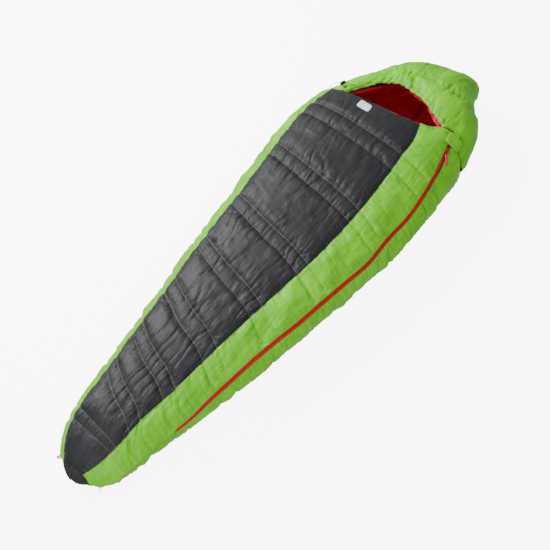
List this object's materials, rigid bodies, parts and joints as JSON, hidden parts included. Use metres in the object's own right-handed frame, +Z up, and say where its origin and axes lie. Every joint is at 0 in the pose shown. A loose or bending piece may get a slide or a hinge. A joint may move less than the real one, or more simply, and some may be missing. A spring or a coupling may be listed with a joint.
{
  "type": "mummy sleeping bag",
  "caption": "Tapered mummy sleeping bag lying closed, with quilted baffles, hood, side zip with draft tube, closure tab, drawcord with cord lock and hanging loops.",
  "frame": {"origin": "centre of the footprint on the ground, under the middle of the closed bag", "axes": "+Y along the bag towards the hood, +X towards the side with the zip, +Z up"},
  "size_m": [0.6764, 2.1992, 0.2539],
  "materials": {
    "shell_charcoal": "matt ripstop nylon",
    "shell_lime": "matt ripstop nylon",
    "insulation": "lofted polyester fibre",
    "lining_red": "soft woven polyester",
    "zip_tape": "woven tape",
    "zip_coil": "nylon coil",
    "slider_metal": "red enamel",
    "pull_red": "soft cord loop",
    "stop_metal": "black",
    "hook_and_loop": "hook and loop",
    "label_white": "plain woven label",
    "cord_black": "braided cord",
    "lock_plastic": "moulded",
    "spring_steel": "bright wire",
    "webbing_white": "woven webbing"
  },
  "bodies": {
    "bag": {"base_lining": "lining_red", "bottom_chest_fill": "insulation", "bottom_foot_fill": "insulation", "bottom_leg_fill": "insulation", "bottom_shell": "shell_charcoal", "cord_knot": "cord_black", "draft_tube": "lining_red", "drawcord_tail": "cord_black", "foot_fill": "insulation", "foot_lining": "lining_red", "foot_shell": "shell_charcoal", "hang_loop_left": "webbing_white", "hang_loop_right": "webbing_white", "hood_back_fill": "insulation", "hood_drawcord": "cord_black", "hood_hem": "shell_lime", "hood_lining": "lining_red", "hood_shell": "shell_lime", "hood_top_fill": "insulation", "label": "label_white", "left_side_fill": "insulation", "left_side_shell": "shell_lime", "loop_patch": "hook_and_loop", "neck_binding": "shell_charcoal", "right_foot_fill": "insulation", "right_lower_fill": "insulation", "right_lower_shell": "shell_lime", "right_upper_fill": "insulation", "right_upper_shell": "shell_lime", "top_chest_fill": "insulation", "top_foot_fill": "insulation", "top_leg_fill": "insulation", "top_lining": "lining_red", "top_shell": "shell_charcoal", "zip_bottom_stop": "stop_metal", "zip_coil_lower": "zip_coil", "zip_coil_upper": "zip_coil", "zip_tape_lower": "zip_tape", "zip_tape_upper": "zip_tape", "zip_top_stop": "stop_metal"},
    "quilt_corner": {"corner_top_shell": "shell_charcoal", "corner_side_shell": "shell_lime", "corner_top_fill": "insulation", "corner_side_fill": "insulation", "corner_lining": "lining_red", "corner_binding": "shell_charcoal", "corner_zip_tape": "zip_tape", "corner_zip_coil": "zip_coil", "corner_zip_stop": "stop_metal"},
    "zip_runner": {"zip_slider": "slider_metal"},
    "zip_pull_body": {"zip_pull": "slider_metal", "pull_tab": "pull_red"},
    "closure_tab": {"zip_tab": "shell_lime", "hook_patch": "hook_and_loop"},
    "lock_body": {"cord_lock": "lock_plastic", "lock_spring": "spring_steel"},
    "lock_plunger": {"lock_button": "lock_plastic"}
  },
  "joints": [
    {"name": "corner_fold", "type": "hinge", "parent": "bag", "child": "quilt_corner", "pos_m": [0.00235, 0.7, 0.297], "axis": [0.4283, -0.8958, -0.1187], "range_deg": [0, 130]},
    {"name": "slider_travel", "type": "hinge", "parent": "bag", "child": "zip_runner", "pos_m": [-3.0517, 0.09273, 0.17], "axis": [0, 0.0648, -0.9979], "range_deg": [0, 24.7]},
    {"name": "pull_swing", "type": "hinge", "parent": "zip_runner", "child": "zip_pull_body", "pos_m": [0.25353, 0.70192, 0.21665], "axis": [-0.658, -0.1695, 0.7337], "range_deg": [0, 150]},
    {"name": "tab_flip", "type": "hinge", "parent": "quilt_corner", "child": "closure_tab", "pos_m": [0.21926, 0.72288, 0.22902], "axis": [0.1562, -0.9876, 0.0138], "range_deg": [0, 140]},
    {"name": "lock_slide", "type": "slide", "parent": "bag", "child": "lock_body", "axis": [-0.8373, -0.0474, -0.5447], "range_m": [0, 0.02]},
    {"name": "button", "type": "slide", "parent": "lock_body", "child": "lock_plunger", "axis": [-0.1035, -0.9645, 0.2431], "range_m": [0, 0.003], "stiffness_N_per_m": 700, "springref_m": -0.002}
  ],
  "couplings": [
    {"joint": "slider_travel", "follows": "corner_fold", "ratio": 0.18996}
  ]
}
